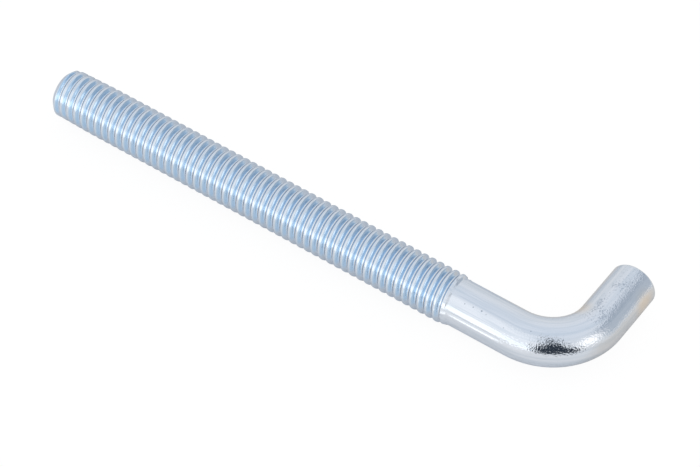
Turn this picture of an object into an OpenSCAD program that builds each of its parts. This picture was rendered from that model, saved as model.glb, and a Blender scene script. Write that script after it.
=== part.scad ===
// Right-angle screw hook: a steel rod with a rolled metric thread on its
// long leg, bent square at the other end into a short plain arm.
// It lies on its side, as it comes to rest on a table. The long leg runs
// along X with its threaded end towards -X, and the arm points along +Y.
// All sizes are in millimetres.

/* [Rod] */
// Diameter of the plain rod, which the bend and the arm keep
rod_d = 5.38; // [4.8:0.02:5.8]
// Length over all, from the threaded end to the back of the arm
overall_l = 70.6; // [66:0.1:100]
// Reach over all, from the back of the long leg to the tip of the arm
reach = 16.4; // [12:0.1:40]
// Radius on the inside of the bend
bend_inner_r = 3.95; // [1.5:0.05:7]
// Rounding of the edge where the arm was cut off
tip_edge_r = 0.3; // [0.05:0.05:1.5]

/* [Thread] */
// Nominal diameter of the thread
thread_d = 6; // [5.6:0.05:6.4]
// How much smaller the thread is over its crests
crest_allowance = 0.04; // [0:0.01:0.1]
// Pitch, the rise of the thread in one turn
thread_pitch = 1; // [0.75:0.05:1.25]
// Length of the threaded end, with the bevel that ends it
thread_l = 54.2; // [20:0.2:57]
// Angle at which the thread starts round the end face
start_angle = 80; // [0:10:350]

/* [Ends of the thread] */
// Diameter of the flat face at the threaded end
end_face_d = 4.6; // [3:0.1:4.6]
// Diameter over the first, lower crests, just behind the end chamfer
point_d = 5.74; // [5.3:0.02:5.9]
// Length over which the crests grow to their full height
point_l = 6.5; // [2:0.5:12]
// Length over which the roots rise to the plain rod
runout_l = 1.6; // [0.6:0.1:3]
// Length of the bevel from the last crest down to the plain rod
bevel_l = 1.1; // [0.3:0.1:1.5]

/* [Smoothness] */
// Flats in one turn of the thread
thread_flats = 18; // [12:2:24]

/* [Hidden] */
$fn = 96;

rod_r = rod_d / 2;
bend_r = bend_inner_r + rod_r;
arm_x = overall_l - rod_r;
tip_y = reach - rod_r;

// Basic metric profile: 60 degree flanks, a nominal crest an eighth of the
// pitch wide, and roots 0.6134 of the pitch below it.
flank_angle = 30;
crest_r = (thread_d - crest_allowance) / 2;
root_r = thread_d / 2 - 0.6134 * thread_pitch;
crest_w = thread_pitch / 8 + crest_allowance * tan(flank_angle);
flank_w = (crest_r - root_r) * tan(flank_angle);

// Corners of one pitch of the profile, each as distance along, radius and
// the way its flank faces: -1 back to the end face, 1 on to the plain rod.
pitch_profile = [
    [0, crest_r, -1],
    [crest_w, crest_r, 1],
    [crest_w + flank_w, root_r, 1],
    [thread_pitch - flank_w, root_r, -1],
];
corners = len(pitch_profile);

// The first crests, cut by a 45 degree chamfer from the end face.
end_face_r = end_face_d / 2;
point_r = point_d / 2;
chamfer_l = point_r - end_face_r;

// The thread starts this far in front of the end face, for the chamfer to
// cut, and ends on a circle this much inside the plain rod.
spare_l = thread_pitch / 2;
last_r = rod_r - 0.05;

// Lying down, the hook rests on the thicker of its rod and its thread.
lie_r = max(crest_r, rod_r);

function limit(x, low, high) = max(low, min(high, x));

// A value that goes from one to another over a length, and stays there.
function ramp(from, to, done) = from + (to - from) * limit(done, 0, 1);

// Radius to which the crests have grown at a distance from the end face.
function grown_r(z) =
    ramp(point_r, crest_r, (z - chamfer_l) / (point_l - chamfer_l));

// Lowest radius there: the roots are level, then rise to the plain rod.
function floor_r(z) = ramp(last_r, root_r, (thread_l - z) / runout_l);

// Highest radius: the bevel takes the last crests down to the plain rod,
// and in front of the end face they start from the roots.
function ceiling_r(z) =
    min(
        ramp(last_r, crest_r, (thread_l - z) / bevel_l),
        ramp(root_r, crest_r, 2 * (z + spare_l) / spare_l)
    );

// One point of the thread surface: corner j of the column at flat i. The
// columns climb by one pitch in a turn, which is what makes the helix. A
// crest that stands lower is wider, because its flanks stay where they are.
function thread_point(i, j) =
    let (
        corner = pitch_profile[j % corners],
        climb = i / thread_flats + floor(j / corners) - 2,
        full_z = climb * thread_pitch + corner[0],
        missing = max(0, corner[1] - grown_r(full_z)),
        moved_z = full_z + corner[2] * missing * tan(flank_angle),
        z = limit(moved_z, -spare_l, thread_l),
        r = limit(corner[1] - missing, floor_r(z), ceiling_r(z)),
        angle = start_angle + 360 * i / thread_flats
    )
    [r * cos(angle), r * sin(angle), z];

// Right-hand thread along +Z, one closed surface with flat ends.
module rolled_thread() {
    turns = ceil(thread_l / thread_pitch) + 3;
    rows = corners * turns;
    points = [
        for (i = [0 : thread_flats - 1])
            for (j = [0 : rows - 1])
                thread_point(i, j)
    ];
    // The column after the last is the first one, a whole turn further up.
    function at(i, j) =
        i < thread_flats ? i * rows + j : min(j + corners, rows - 1);
    sides = [
        for (i = [0 : thread_flats - 1])
            for (j = [0 : rows - 2])
                each [
                    [at(i, j), at(i + 1, j + 1), at(i + 1, j)],
                    [at(i, j), at(i, j + 1), at(i + 1, j + 1)],
                ]
    ];
    near_face = [for (i = [0 : thread_flats - 1]) at(i, 0)];
    far_face = [for (i = [thread_flats - 1 : -1 : 0]) at(i, rows - 1)];
    polyhedron(points, concat(sides, [near_face, far_face]));
}

// The rod as it was pointed before rolling: flat end face and chamfer.
module pointed_blank() {
    blank_r = crest_r + 0.1;
    rotate_extrude()
        polygon([
            [0, 0],
            [end_face_r, 0],
            [blank_r, blank_r - end_face_r],
            [blank_r, thread_l + spare_l],
            [0, thread_l + spare_l],
        ]);
}

// Threaded end of the long leg, from the end face at Z = 0 upwards.
module threaded_end() {
    intersection() {
        rolled_thread();
        pointed_blank();
    }
}

// Plain part of the long leg, from the thread to the bend, along +X.
module plain_leg() {
    translate([thread_l, 0, 0])
        rotate([0, 90, 0])
            cylinder(r = rod_r, h = arm_x - bend_r - thread_l);
}

// Square bend in the XY plane, from the long leg round to the arm.
module bend() {
    translate([arm_x - bend_r, bend_r, 0])
        rotate([0, 0, -90])
            rotate_extrude(angle = 90)
                translate([bend_r, 0])
                    circle(r = rod_r);
}

// Short arm along +Y, cut off square and with its edge rounded.
module arm() {
    arm_l = tip_y - bend_r;
    edge_y = arm_l - tip_edge_r;
    translate([arm_x, bend_r, 0])
        rotate([-90, 0, 0])
            rotate_extrude() {
                square([rod_r, edge_y]);
                square([rod_r - tip_edge_r, arm_l]);
                translate([rod_r - tip_edge_r, edge_y])
                    intersection() {
                        circle(r = tip_edge_r);
                        square(tip_edge_r);
                    }
            }
}

module screw_hook() {
    color("#c6d2e0")
        translate([-overall_l / 2, (rod_r - reach + lie_r) / 2, lie_r]) {
            rotate([0, 90, 0])
                threaded_end();
            plain_leg();
            bend();
            arm();
        }
}

screw_hook();
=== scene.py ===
"""Screw hook: a zinc plated steel rod with a rolled thread on its long leg, bent square into a
short plain arm."""

import math

import bmesh
import bpy
from mathutils import Matrix, Vector

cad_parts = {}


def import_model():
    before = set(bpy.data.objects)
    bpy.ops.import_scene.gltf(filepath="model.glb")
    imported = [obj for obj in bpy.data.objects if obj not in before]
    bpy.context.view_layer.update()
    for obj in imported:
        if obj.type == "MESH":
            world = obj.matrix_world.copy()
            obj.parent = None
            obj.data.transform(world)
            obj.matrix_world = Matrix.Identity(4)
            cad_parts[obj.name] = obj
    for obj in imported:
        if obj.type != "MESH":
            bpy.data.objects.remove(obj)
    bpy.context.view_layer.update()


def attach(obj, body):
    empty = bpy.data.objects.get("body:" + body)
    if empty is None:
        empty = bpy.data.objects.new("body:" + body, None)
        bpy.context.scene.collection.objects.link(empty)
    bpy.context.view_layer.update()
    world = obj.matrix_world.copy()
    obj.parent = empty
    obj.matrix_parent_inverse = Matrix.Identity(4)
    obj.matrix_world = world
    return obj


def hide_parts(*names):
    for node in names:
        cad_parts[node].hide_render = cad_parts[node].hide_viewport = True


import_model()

MM = 0.001
DEGREE = math.radians(1)

# Sizes of the hook in mm. A place along the rod is measured on its centre line, from the
# threaded end, round the bend, to the tip of the arm.
ROD_R = 2.69
OVERALL_L = 70.6
REACH = 16.4
BEND_INNER_R = 3.95
TIP_ROUND = 0.3
CREST_R = 2.98
ROOT_R = 2.6
PITCH = 1.0
THREAD_L = 54.2
FACE_R = 2.3  # the flat face at the threaded end
POINT_R = 2.87  # the first, lower crests
POINT_L = 6.5  # where the crests have grown to their full height
RUNOUT_L = 1.6  # over which the roots rise to the plain rod
BEVEL_L = 1.1  # from the last crest down to the plain rod

BEND_R = BEND_INNER_R + ROD_R
LEG_END = OVERALL_L - ROD_R - BEND_R
BEND_L = BEND_R * math.pi / 2
ARM_L = REACH - ROD_R - BEND_R
ROD_END = LEG_END + BEND_L + ARM_L
AXIS_START = Vector((-OVERALL_L / 2, (ROD_R - REACH + CREST_R) / 2, CREST_R))

# Thread form: round crests and round roots, with flanks eased by the rolling and the plate
FLANK = math.radians(35)
CREST_FLAT = 0.05
CREST_ROUND = 0.17
ROOT_ROUND = 0.16
THREAD_START = math.radians(-40.6)  # where a crest stands at the end face

# How finely the surface is drawn: columns round the rod, rings along its stretches, points in
# degrees on each rounding of the thread form, and on each flat end the radii of its rings, with
# a thin rim that keeps its shading flat
COLUMNS = 96
LEG_RINGS = 24
BEND_RINGS = 60
ARM_RINGS = 24
TIP_ROUND_RINGS = 6
ARC_POINTS = (90, 60, 30)
TIP_RIM = 0.08
TIP_RINGS = (1.6, 0.8, 0.0)
FACE_RIM = 0.06
FACE_RINGS = (0.0, 0.7, 1.5)
WELD = 0.0002  # points nearer than this are one

# Colours of the plate: on the rod, on its marks, on the metal seen edge on, on the thread seen at
# a slant and on its crests, and over the thread form by the share of a pitch from the crest
# toward the arm. The grey at a slant is partly the film's own and partly a painted reflection.
# Over the form, the cream at 0.50 and 0.54 is a painted highlight in each root, and the darker
# blue at 0.60 is painted shade in the groove's corner beside it.
ROD_COLOUR = "#DADFE6"
STREAK_COLOUR = "#CDD5DE"
TINT_COLOUR = "#E6DACA"
PIT_COLOUR = "#8693A4"
EDGE_COLOUR = "#E4E8EE"
SLANT_COLOUR = "#CBD3DD"
CREST_COLOUR = "#D2D9E1"
FORM_COLOURS = (
    (0.08, "#D8DFE7"),
    (0.15, "#C0D3E4"),
    (0.26, "#B3CFE9"),
    (0.46, "#B5D0EA"),
    (0.50, "#F6F0EA"),
    (0.54, "#EFEBE7"),
    (0.60, "#B6CADC"),
    (0.78, "#C3D6E8"),
    (0.90, "#D6DEE7"),
)
SLANT = (0.34, 0.56)  # facing at which the blue starts to pale, and at which it is gone
STREAKS = (0.42, 0.66)  # noise at which a streak starts, and at which it is full

# Widths of the patterns in mm. Zinc crystals are 0.02 mm wide on the real plate, and are drawn
# as coarse as the picture can show.
CRYSTAL_W = 0.16
DIE_LINE_W = 0.4
DIE_LINE_SQUEEZE = 0.06  # along the rod, which draws the lines long
CRACKLE_W = 0.22
PATCH_W = 2.2
PATCH_SHARE = 0.8  # of the patches' noise in the crackle
CRACKS = (0.93, 1.1)  # noise at which a crack starts, and at which it is full
CRACK_DEPTH = 0.6  # of a pit's

# Heights of the patterns in mm, and roughness
CRYSTAL_H = 0.003
BENT_CRYSTAL_H = 0.03
DIE_LINE_H = 0.008
PIT_DEPTH = 0.01
THREAD_ROUGHNESS = 0.2
ROD_ROUGHNESS = 0.1

# Where something starts and where it is full: the thread's colours at the run-out and at the end
# face, the plain rod's relief, the coarser crystals of the bend, and the rough skin on the arm.
# Places along the rod are in mm, and those round it in degrees.
RUNOUT_COLOUR = (THREAD_L - 0.7, THREAD_L - 1.5)
FACE_COLOUR = (0, 0.3)
PLAIN_RELIEF = (THREAD_L - 0.2, THREAD_L + 0.8)
BENT_RELIEF = (LEG_END - 2, LEG_END + 1)
SKIN_ALONG = ((67.5, 70), (ROD_END - 0.05, ROD_END - 0.4))
SKIN_AROUND = ((62, 78), (118, 104))

# Marks on the surface, each as its place along the rod in mm and its angle round it in degrees,
# from +Y over the top. A pit also has its radius in mm.
PITS = (
    (20.4, 156, 0.11),
    (27.45, 147, 0.11),
    (40.65, 160.5, 0.11),
    (45.9, 121.5, 0.11),
    (46.35, 144, 0.11),
    (55.6, 124, 0.08),
    (56.6, 121.5, 0.09),
    (57.65, 120, 0.14),
    (58.25, 122.5, 0.06),
    (60.65, 130.5, 0.07),
    (63.15, 113, 0.08),
    (63.5, 155.5, 0.11),
)
PIT_FLOOR_R = 0.02
# Warm tinted spots on the plate, the radii in which they are full and have gone, and how strong
# they are
TINTS = ((76.4, 172), (70.2, 34))
TINT_R = (0.3, 2.4)
TINT_SHARE = 0.75
# Marks of the drawing die: angle, half its width in degrees, and where it starts and ends, with
# how long it takes to come and to go
DIE_MARKS = ((113, 2.6, 53.6, 79), (96, 2.0, 54.0, 66), (138, 2.0, 53.6, 64))
DIE_MARK_COMES = 2
DIE_MARK_GOES = 4

# The white sheet under the hook. Mirrors see it end near the hook, with painted shades and
# painted stripes of light on it: a grey painted shadow behind the hook inside its bend, and a
# warm painted shade near the arm. A shade has a side across Y and one across X, each from where
# it starts to where it is full, in mm. A stripe has its front and back, its left and right, the
# softness of its edges, and its strength.
SHEET_COLOUR = "#F1F2F4"
SHEET_END = (55, 70)
SHEET_GLOW = 1.02
GLOW_TO_CAMERA = 0.92
GLOW_TO_MIRRORS = 0.3
PAINTED_SHADES = (
    ((-5, 5), (26, 14), "#D2D7DD"),
    ((-6, 0), (16, 24), "#E2DAD0"),
)
STRIPES = (
    ((-27, -17.5), (8, 30), 4, 1.1),
    ((-17.1, -14.2), (16.3, 22.8), 0.8, 1.6),
)
FLOOR_SIZE = 4

# What stands round the hook in the studio, in degrees: azimuth from +X toward +Y, height above
# the table, softness of the edges, and light to a mirror. The tent behind it changes from its
# foot to its top.
TENT_FOOT = (0.93, 0.93, 0.93, 1)
TENT_TOP = (0.88, 0.93, 1.0, 1)
TENT_HEIGHTS = (-10, 90)
STUDIO = (
    ("left_softbox", (-140, -22), (-6, 19), 4, (1.55, 1.55, 1.55)),
    ("right_softbox", (-14, 6), (8, 36), 6, (1.66, 1.6, 1.54)),
    ("left_curtain", (-150, -74), (19, 62), 14, (1.12, 1.14, 1.17)),
    ("right_gap", (18, 90), (34, 47), 5, (0.47, 0.52, 0.59)),
    ("right_corner", (18, 84), (0, 40), 4, (0.57, 0.62, 0.68)),
)

# A dark card that stands close to the bend: how far away, and between which lengths of ray it
# fades out, in mm. Each part lies between two level edges: height, left azimuth and right
# azimuth, in degrees as seen from the front of the bend.
CARD_COLOUR = "#363E48"
CARD_SEEN_FROM = AXIS_START + Vector((LEG_END + BEND_R * 0.7, BEND_R * 0.3 - ROD_R, 0))
CARD_FAR = 45
CARD_REACH = (CARD_FAR + 1, CARD_FAR + 2.6)
CARD_PARTS = (
    ((-14, -72, -13), (10, -76, -17)),
    ((10, -80, -20), (24, -73, -29)),
    ((24, -70, -31), (40, -61, -36)),
    ((40, -57, -40), (72, -53, -43)),
)

# The camera's place and its own axes, worked out from the hook's outline and its thread, and
# its lens, sensor and nearest distance. All lengths are in mm.
CAMERA_PLACE = Vector((110.993, -173.497, 221.140))
CAMERA_RIGHT = Vector((0.82151, 0.56896, 0.03741))
CAMERA_UP = Vector((-0.44022, 0.59120, 0.67579))
CAMERA_BACK = Vector((0.36238, -0.57164, 0.73615))
CAMERA_LENS = 138.685
CAMERA_SENSOR = 36
CAMERA_CLIP = 10


def between(a, b, x):
    """From a to b, softly, as x goes from 0 to 1."""
    x = min(1.0, max(0.0, x))
    return a + (b - a) * (x * x * (3 - 2 * x))


def on_rod(along, radius, angle):
    """A point in metres, from its place along the rod, its radius and its angle round it."""
    out, up = radius * math.cos(angle), radius * math.sin(angle)
    turn = min(max(along - LEG_END, 0) / BEND_R, math.pi / 2)
    x = min(along, LEG_END) + BEND_R * math.sin(turn)
    y = BEND_R * (1 - math.cos(turn)) + max(along - LEG_END - BEND_L, 0)
    side = Vector((-math.sin(turn), math.cos(turn), 0))
    return (AXIS_START + Vector((x, y, 0)) + side * out + Vector((0, 0, up))) * MM


def thread_form():
    """One pitch of the thread form, from one crest's middle to just before the next, as places
    across the pitch and radii."""
    rounding = (CREST_ROUND + ROOT_ROUND) * (1 - math.sin(FLANK))
    flank_l = (CREST_R - ROOT_R - rounding) * math.tan(FLANK)
    root = CREST_FLAT + flank_l + (CREST_ROUND + ROOT_ROUND) * math.cos(FLANK)
    half = [(0.0, CREST_R)]
    for a in (math.radians(degrees) for degrees in ARC_POINTS):
        drop = CREST_ROUND * (1 - math.sin(a))
        half.append((CREST_FLAT + CREST_ROUND * math.cos(a), CREST_R - drop))
    for a in (math.radians(degrees) for degrees in reversed(ARC_POINTS)):
        rise = ROOT_ROUND * (1 - math.sin(a))
        half.append((root - ROOT_ROUND * math.cos(a), ROOT_R + rise))
    half.append((0.5 * PITCH, ROOT_R))
    return half + [(PITCH - x, r) for x, r in reversed(half[1:-1])]


def trimmed(x, radius):
    """What the blank's own shape leaves of the thread: chamfer, first lower crests, rising
    roots and last bevel."""
    chamfer_l = POINT_R - FACE_R
    lowest = between(ROOT_R, ROD_R, 1 - (THREAD_L - x) / RUNOUT_L)
    highest = min(
        between(POINT_R, CREST_R, (x - chamfer_l) / (POINT_L - chamfer_l)),
        ROD_R + (CREST_R - ROD_R) * min(1.0, (THREAD_L - x) / BEVEL_L),
        FACE_R + x,
    )
    return min(max(radius, lowest), highest)


def thread_columns(form):
    """Each column of the thread. It climbs a pitch in a turn, so the columns start one after
    another, and what lies past either end is laid on that end."""
    columns = []
    for i in range(COLUMNS):
        column = []
        for turn in range(-2, math.ceil(THREAD_L / PITCH) + 1):
            for offset, radius in form:
                x = (i / COLUMNS + turn) * PITCH + offset
                inside = min(max(x, 0.0), THREAD_L)
                column.append((inside, trimmed(inside, radius)))
        columns.append(column)
    return columns


def rod_rings():
    """Rings of the plain rod from the thread to the middle of the arm's flat end."""
    rings = []
    for start, end, count in (
        (THREAD_L, LEG_END, LEG_RINGS),
        (LEG_END, LEG_END + BEND_L, BEND_RINGS),
        (LEG_END + BEND_L, ROD_END - TIP_ROUND, ARM_RINGS),
    ):
        rings += [(start + (end - start) * k / count, ROD_R) for k in range(count)]
    for k in range(TIP_ROUND_RINGS + 1):
        a = math.pi / 2 * k / TIP_ROUND_RINGS
        along = ROD_END - TIP_ROUND * (1 - math.sin(a))
        rings.append((along, ROD_R - TIP_ROUND * (1 - math.cos(a))))
    return rings + [(ROD_END, r) for r in (ROD_R - TIP_ROUND - TIP_RIM, *TIP_RINGS)]


def add_columns(bm, straight, columns, shift):
    """Add columns of points, each as its place along and its radius, and join them into faces.
    The last column meets the first one, shifted by some rows."""
    made = []
    for i, column in enumerate(columns):
        angle = THREAD_START + 2 * math.pi * i / COLUMNS
        verts = []
        for along, radius in column:
            vert = bm.verts.new(on_rod(along, radius, angle))
            vert[straight] = (along, radius * math.cos(angle), radius * math.sin(angle))
            verts.append(vert)
        made.append(verts)
    for here, there in zip(made, made[1:] + [made[0][shift:]]):
        for j in range(min(len(here), len(there)) - 1):
            bm.faces.new((here[j], here[j + 1], there[j + 1], there[j]))


def make_hook():
    """The hook, with each point's place on the rod unbent as straight_mm, for its material."""
    bm = bmesh.new()
    straight = bm.verts.layers.float_vector.new("straight_mm")
    form = thread_form()
    face = [(0.0, r) for r in (*FACE_RINGS, FACE_R - FACE_RIM, FACE_R)]
    add_columns(bm, straight, thread_columns(form), len(form))
    add_columns(bm, straight, [rod_rings()] * COLUMNS, 0)
    add_columns(bm, straight, [face] * COLUMNS, 0)
    bmesh.ops.remove_doubles(bm, verts=bm.verts, dist=WELD * MM)
    bmesh.ops.recalc_face_normals(bm, faces=bm.faces)
    for f in bm.faces:
        f.smooth = True
    return to_object(bm, "screw_hook_rod")


def to_object(bm, name):
    mesh = bpy.data.meshes.new(name)
    bm.to_mesh(mesh)
    bm.free()
    made = bpy.data.objects.new(name, mesh)
    bpy.context.scene.collection.objects.link(made)
    return made


def linear(colour):
    """An sRGB hex colour as linear RGBA."""
    parts = [int(colour[k : k + 2], 16) / 255 for k in (1, 3, 5)]
    parts = [c / 12.92 if c <= 0.04045 else ((c + 0.055) / 1.055) ** 2.4 for c in parts]
    return (*parts, 1.0)


def add(tree, kind, inputs=None, **settings):
    """Add a node with its settings. An input, by its name or number, takes a value or the
    output of another node."""
    node = tree.nodes.new(kind)
    for name, value in settings.items():
        setattr(node, name, value)
    for key, value in (inputs or {}).items():
        if isinstance(value, bpy.types.NodeSocket):
            tree.links.new(value, node.inputs[key])
        else:
            node.inputs[key].default_value = value
    return node


def new_material(name):
    material = bpy.data.materials.new(name)
    material.use_nodes = True
    material.node_tree.nodes.clear()
    return material, material.node_tree


def window(tree, limits):
    """Product of soft steps, each given as a value, where it starts to rise and where it is
    full."""
    whole = 1.0
    for value, start, full in limits:
        span = {"Value": value, "From Min": start, "From Max": full}
        step = add(tree, "ShaderNodeMapRange", span, interpolation_type="SMOOTHSTEP").outputs[0]
        whole = add(tree, "ShaderNodeMath", {0: step, 1: whole}, operation="MULTIPLY").outputs[0]
    return whole


def panel(tree, sides, soft, unit):
    """A window with soft edges, where each side is a value, its low end and its high end."""
    half = soft / 2
    limits = []
    for value, low, high in sides:
        limits.append((value, (low - half) * unit, (low + half) * unit))
        limits.append((value, (high + half) * unit, (high - half) * unit))
    return window(tree, limits)


def spot(tree, place, along, degrees, inner, outer):
    """A round spot on the rod: 1 inside the inner radius, 0 outside the outer one."""
    angle = math.radians(degrees)
    centre = (along, ROD_R * math.cos(angle), ROD_R * math.sin(angle))
    far = add(tree, "ShaderNodeVectorMath", {0: place, 1: centre}, operation="DISTANCE")
    return window(tree, [(far.outputs["Value"], outer, inner)])


def film_colour_and_painted_light(tree, place, along, around, lines):
    """Colour of the clear film: blue over the thread form, with streaks on the plain rod. Over
    the
    form it also holds painted light: a cream painted highlight and a darker line of painted shade
    in each root.
    """
    # Share of a pitch from the last crest
    climb = PITCH / (2 * math.pi)
    helix = {0: around, 1: -climb, 2: THREAD_START * climb}
    climbed = add(tree, "ShaderNodeMath", helix, operation="MULTIPLY_ADD").outputs[0]
    pitches = add(tree, "ShaderNodeMath", {0: along, 1: climbed}, operation="ADD").outputs[0]
    across = add(tree, "ShaderNodeMath", {0: pitches, 1: PITCH}, operation="FLOORED_MODULO")
    # The ramp's cream at 0.50 and 0.54 is a painted highlight in each root, and its darker blue
    # at 0.60 is painted shade in the groove's corner
    film_and_painted_lines = add(tree, "ShaderNodeValToRGB", {0: across.outputs[0]})
    ramp = film_and_painted_lines.color_ramp.elements
    ramp[0].color = ramp[1].color = linear(CREST_COLOUR)
    for share, colour in FORM_COLOURS:
        ramp.new(share).color = linear(colour)

    # The film's sheen: it is blue seen face on, and pales where it is seen at a slant. The grey
    # it pales to is partly the film's own and partly a painted reflection of the greyer things
    # that the thread's edges mirror.
    facing = add(tree, "ShaderNodeLayerWeight", {"Blend": 0.5}).outputs["Facing"]
    slant_sheen_partly_painted = {0: window(tree, [(facing, *SLANT)]), 6: film_and_painted_lines.outputs[0], 7: linear(SLANT_COLOUR)}
    slant_sheen_partly_painted = add(tree, "ShaderNodeMix", slant_sheen_partly_painted, data_type="RGBA").outputs[2]

    # Lines and marks that the drawing die left along the rod, where the film is thicker
    streak = {"Value": lines, "From Min": STREAKS[0], "From Max": STREAKS[1]}
    streak = add(tree, "ShaderNodeMapRange", streak).outputs[0]
    for at, half, start, end in DIE_MARKS:
        limits = [
            (around, (at - half) * DEGREE, at * DEGREE),
            (around, (at + half) * DEGREE, at * DEGREE),
            (along, start, start + DIE_MARK_COMES),
            (along, end, end - DIE_MARK_GOES),
        ]
        mark = {0: streak, 1: window(tree, limits)}
        streak = add(tree, "ShaderNodeMath", mark, operation="MAXIMUM").outputs[0]
    streaked = {0: streak, 6: linear(ROD_COLOUR), 7: linear(STREAK_COLOUR)}
    streaked = add(tree, "ShaderNodeMix", streaked, data_type="RGBA").outputs[2]

    # The thread's colours fade out at its run-out and at its end face
    threaded = window(tree, [(along, *RUNOUT_COLOUR), (along, *FACE_COLOUR)])
    both = {0: threaded, 6: streaked, 7: slant_sheen_partly_painted}
    colour = add(tree, "ShaderNodeMix", both, data_type="RGBA").outputs[2]
    for at, degrees in TINTS:
        cover = {0: spot(tree, place, at, degrees, *TINT_R), 1: TINT_SHARE}
        cover = add(tree, "ShaderNodeMath", cover, operation="MULTIPLY").outputs[0]
        tinted = {0: cover, 6: colour, 7: linear(TINT_COLOUR)}
        colour = add(tree, "ShaderNodeMix", tinted, data_type="RGBA").outputs[2]
    return colour


def pitting(tree, place, along, around):
    """Where the plate is pitted: in rough skin on the arm, which the bend stretched, and in
    single pits."""
    limits = [(along, *ends) for ends in SKIN_ALONG]
    limits += [(around, *(at * DEGREE for at in ends)) for ends in SKIN_AROUND]
    skin = window(tree, limits)
    patches = {"Vector": place, "Scale": 1 / PATCH_W, "Detail": 1.0}
    patches = add(tree, "ShaderNodeTexNoise", patches).outputs["Fac"]
    crackle = {"Vector": place, "Scale": 1 / CRACKLE_W, "Detail": 2.0, "Roughness": 0.6}
    crackle = add(tree, "ShaderNodeTexNoise", crackle).outputs["Fac"]
    crackle = {0: patches, 1: PATCH_SHARE, 2: crackle}
    crackle = add(tree, "ShaderNodeMath", crackle, operation="MULTIPLY_ADD").outputs[0]
    cracks = {
        "Value": crackle,
        "From Min": CRACKS[0],
        "From Max": CRACKS[1],
        "To Max": CRACK_DEPTH,
    }
    cracks = add(tree, "ShaderNodeMapRange", cracks).outputs[0]
    pitted = add(tree, "ShaderNodeMath", {0: skin, 1: cracks}, operation="MULTIPLY").outputs[0]
    for at, degrees, radius in PITS:
        pit = {0: pitted, 1: spot(tree, place, at, degrees, PIT_FLOOR_R, radius)}
        pitted = add(tree, "ShaderNodeMath", pit, operation="MAXIMUM").outputs[0]
    return pitted


def zinc_plate():
    """Bright zinc plate with a clear blue passivation, over a drawn steel rod.

    The eye gets a bluish mirror, bluer in the thread where the film lies thicker, with the
    rod's fine die lines, a grain of zinc crystals that breaks up the edges of reflections, and
    a few pits. The thread's colour also holds painted light: a cream painted highlight and a
    darker line of painted shade in each root, and a grey at a slant that is partly a painted
    reflection.
    """
    material, tree = new_material("zinc_plate_passivated")
    place = add(tree, "ShaderNodeAttribute", attribute_name="straight_mm").outputs["Vector"]
    split = add(tree, "ShaderNodeSeparateXYZ", {0: place}).outputs
    along = split["X"]
    around = add(tree, "ShaderNodeMath", {0: split["Z"], 1: split["Y"]}, operation="ARCTAN2")
    around = around.outputs[0]
    squeeze = {0: place, 1: (DIE_LINE_SQUEEZE, 1, 1)}
    drawn = add(tree, "ShaderNodeVectorMath", squeeze, operation="MULTIPLY").outputs[0]
    lines = {"Vector": drawn, "Scale": 1 / DIE_LINE_W, "Detail": 2.0, "Roughness": 0.55}
    lines = add(tree, "ShaderNodeTexNoise", lines).outputs["Fac"]
    pitted = pitting(tree, place, along, around)
    colour = film_colour_and_painted_light(tree, place, along, around, lines)
    dark = {0: pitted, 6: colour, 7: linear(PIT_COLOUR)}
    dark = add(tree, "ShaderNodeMix", dark, data_type="RGBA").outputs[2]

    # Relief in mm: crystals, coarser where the rod is bent, and die lines, both on the plain
    # rod only, and the pits
    grain = {"Vector": place, "Scale": 1 / CRYSTAL_W, "Detail": 1.0}
    grain = add(tree, "ShaderNodeTexNoise", grain).outputs["Fac"]
    bent = window(tree, [(along, *BENT_RELIEF)])
    coarse = {"Value": bent, "To Min": CRYSTAL_H, "To Max": BENT_CRYSTAL_H}
    coarse = add(tree, "ShaderNodeMapRange", coarse).outputs[0]
    height = add(tree, "ShaderNodeMath", {0: grain, 1: coarse}, operation="MULTIPLY").outputs[0]
    height = {0: lines, 1: DIE_LINE_H, 2: height}
    height = add(tree, "ShaderNodeMath", height, operation="MULTIPLY_ADD").outputs[0]
    plain = window(tree, [(along, *PLAIN_RELIEF)])
    height = add(tree, "ShaderNodeMath", {0: height, 1: plain}, operation="MULTIPLY").outputs[0]
    height = {0: pitted, 1: -PIT_DEPTH, 2: height}
    height = add(tree, "ShaderNodeMath", height, operation="MULTIPLY_ADD").outputs[0]
    bump = {"Height": height, "Strength": 1.0, "Distance": MM}
    bump = add(tree, "ShaderNodeBump", bump).outputs[0]

    dull = {"Value": plain, "To Min": THREAD_ROUGHNESS, "To Max": ROD_ROUGHNESS}
    dull = add(tree, "ShaderNodeMapRange", dull).outputs[0]
    plate = {
        "Base Color": dark,
        "Metallic": 1.0,
        "Roughness": dull,
        "Normal": bump,
        "Specular Tint": linear(EDGE_COLOUR),
    }
    shader = add(tree, "ShaderNodeBsdfPrincipled", plate)
    add(tree, "ShaderNodeOutputMaterial", {"Surface": shader.outputs[0]})
    return material


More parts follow.
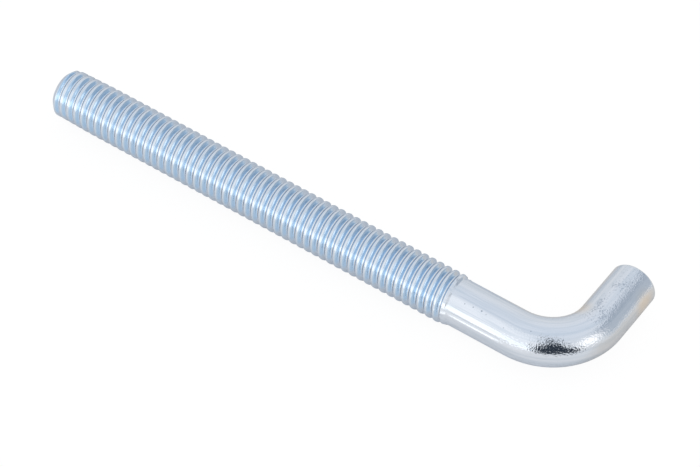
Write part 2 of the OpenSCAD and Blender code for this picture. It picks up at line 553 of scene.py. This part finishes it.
def floor_material():
    """White paper sweep, lit to white.

    The eye gets plain white with the hook's own soft shadow. The metal mirrors a sheet that
    ends near the hook, with painted shades and painted stripes of light on it.
    """
    material, tree = new_material("white_sweep")
    rays = add(tree, "ShaderNodeLightPath").outputs
    place = add(tree, "ShaderNodeNewGeometry").outputs["Position"]
    split = add(tree, "ShaderNodeSeparateXYZ", {0: place}).outputs
    x, y = split["X"], split["Y"]
    glossy = (rays["Is Glossy Ray"], 0, 1)

    colour = linear(SHEET_COLOUR)
    # Painted shades, seen only in mirrors: a grey painted shadow behind the hook and a warm
    # painted shade near the arm
    for across_y, across_x, shade in PAINTED_SHADES:
        limits = [(y, *(at * MM for at in across_y)), (x, *(at * MM for at in across_x)), glossy]
        shaded = {0: window(tree, limits), 6: colour, 7: linear(shade)}
        colour = add(tree, "ShaderNodeMix", shaded, data_type="RGBA").outputs[2]
    paper = add(tree, "ShaderNodeBsdfDiffuse", {"Color": colour}).outputs[0]
    glow = add(tree, "ShaderNodeEmission", {"Strength": SHEET_GLOW}).outputs[0]
    lit = {0: rays["Is Camera Ray"], 1: GLOW_TO_CAMERA}
    lit = add(tree, "ShaderNodeMath", lit, operation="MULTIPLY").outputs[0]
    lit = {0: rays["Is Glossy Ray"], 1: GLOW_TO_MIRRORS, 2: lit}
    lit = add(tree, "ShaderNodeMath", lit, operation="MULTIPLY_ADD").outputs[0]
    sheet = add(tree, "ShaderNodeMixShader", {0: lit, 1: paper, 2: glow}).outputs[0]
    for front_back, left_right, soft, strength in STRIPES:
        there = panel(tree, ((y, *front_back), (x, *left_right)), soft, MM)
        there = {0: there, 1: rays["Is Glossy Ray"]}
        there = add(tree, "ShaderNodeMath", there, operation="MULTIPLY").outputs[0]
        stripe = add(tree, "ShaderNodeEmission", {"Strength": strength}).outputs[0]
        sheet = add(tree, "ShaderNodeMixShader", {0: there, 1: sheet, 2: stripe}).outputs[0]
    far = add(tree, "ShaderNodeVectorMath", {0: place}, operation="LENGTH").outputs["Value"]
    beyond = window(tree, [(far, *(at * MM for at in SHEET_END)), glossy])
    through = add(tree, "ShaderNodeBsdfTransparent").outputs[0]
    sheet = add(tree, "ShaderNodeMixShader", {0: beyond, 1: sheet, 2: through}).outputs[0]
    add(tree, "ShaderNodeOutputMaterial", {"Surface": sheet})
    return material


def floor():
    bpy.ops.mesh.primitive_plane_add(size=FLOOR_SIZE, location=(0, 0, 0))
    plane = bpy.context.active_object
    plane.name = "floor"
    plane.data.materials.append(floor_material())
    return plane


def world():
    """A light tent: even white light, and in mirrors also what stands in the studio."""
    made = bpy.data.worlds.new("light_tent")
    bpy.context.scene.world = made
    made.use_nodes = True
    tree = made.node_tree
    tree.nodes.clear()
    direction = add(tree, "ShaderNodeTexCoord").outputs["Generated"]
    split = add(tree, "ShaderNodeSeparateXYZ", {0: direction}).outputs
    azimuth = add(tree, "ShaderNodeMath", {0: split["Y"], 1: split["X"]}, operation="ARCTAN2")
    azimuth = azimuth.outputs[0]
    height = add(tree, "ShaderNodeMath", {0: split["Z"]}, operation="ARCSINE").outputs[0]
    rising = window(tree, [(height, *(at * DEGREE for at in TENT_HEIGHTS))])
    tent = {0: rising, 6: TENT_FOOT, 7: TENT_TOP}
    colour = add(tree, "ShaderNodeMix", tent, data_type="RGBA").outputs[2]
    for name, azimuths, heights, soft, light in reversed(STUDIO):
        cover = panel(tree, ((azimuth, *azimuths), (height, *heights)), soft, DEGREE)
        shown = {0: cover, 6: colour, 7: (*light, 1)}
        colour = add(tree, "ShaderNodeMix", shown, data_type="RGBA", name=name).outputs[2]
    glossy = add(tree, "ShaderNodeLightPath").outputs["Is Glossy Ray"]
    white = add(tree, "ShaderNodeBackground", {"Color": (1, 1, 1, 1)}).outputs[0]
    mirrored = add(tree, "ShaderNodeBackground", {"Color": colour}).outputs[0]
    light = add(tree, "ShaderNodeMixShader", {0: glossy, 1: white, 2: mirrored}).outputs[0]
    add(tree, "ShaderNodeOutputWorld", {"Surface": light})


def card_material():
    """Matt black card, which the metal mirrors as a dark patch.

    It stands so close that only the bend mirrors it: rays from the thread and from the arm's
    end have further to go, and pass through it.
    """
    material, tree = new_material("black_card")
    black = add(tree, "ShaderNodeEmission", {"Color": linear(CARD_COLOUR)}).outputs[0]
    length = add(tree, "ShaderNodeLightPath").outputs["Ray Length"]
    near, far = (at * MM for at in CARD_REACH)
    missed = {"Value": length, "From Min": near, "From Max": far}
    missed = add(tree, "ShaderNodeMapRange", missed).outputs[0]
    through = add(tree, "ShaderNodeBsdfTransparent").outputs[0]
    card = add(tree, "ShaderNodeMixShader", {0: missed, 1: black, 2: through}).outputs[0]
    add(tree, "ShaderNodeOutputMaterial", {"Surface": card})
    return material


def dark_card():
    """The card's parts, as patches of a sphere round the bend, which only mirrors see."""
    bm = bmesh.new()
    for (low, low_left, low_right), (high, high_left, high_right) in CARD_PARTS:
        verts = []
        for height, azimuth in (
            (low, low_left),
            (low, low_right),
            (high, high_right),
            (high, high_left),
        ):
            h, a = math.radians(height), math.radians(azimuth)
            way = Vector((math.cos(h) * math.cos(a), math.cos(h) * math.sin(a), math.sin(h)))
            verts.append(bm.verts.new((CARD_SEEN_FROM + way * CARD_FAR) * MM))
        bm.faces.new(verts)
    card = to_object(bm, "dark_card")
    card.visible_camera = card.visible_diffuse = card.visible_shadow = False
    card.data.materials.append(card_material())
    return card


def camera():
    data = bpy.data.cameras.new("camera")
    data.lens = CAMERA_LENS
    data.sensor_width = CAMERA_SENSOR
    data.clip_start = CAMERA_CLIP * MM
    made = bpy.data.objects.new("camera", data)
    turn = Matrix((CAMERA_RIGHT, CAMERA_UP, CAMERA_BACK)).transposed().to_4x4()
    made.matrix_world = Matrix.Translation(CAMERA_PLACE * MM) @ turn
    bpy.context.scene.collection.objects.link(made)
    bpy.context.scene.camera = made


hook = make_hook()
hook.data.materials.append(zinc_plate())
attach(hook, "root")
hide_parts("screw_hook")
floor()
dark_card()
world()
camera()
bpy.context.scene.view_settings.view_transform = "Standard"
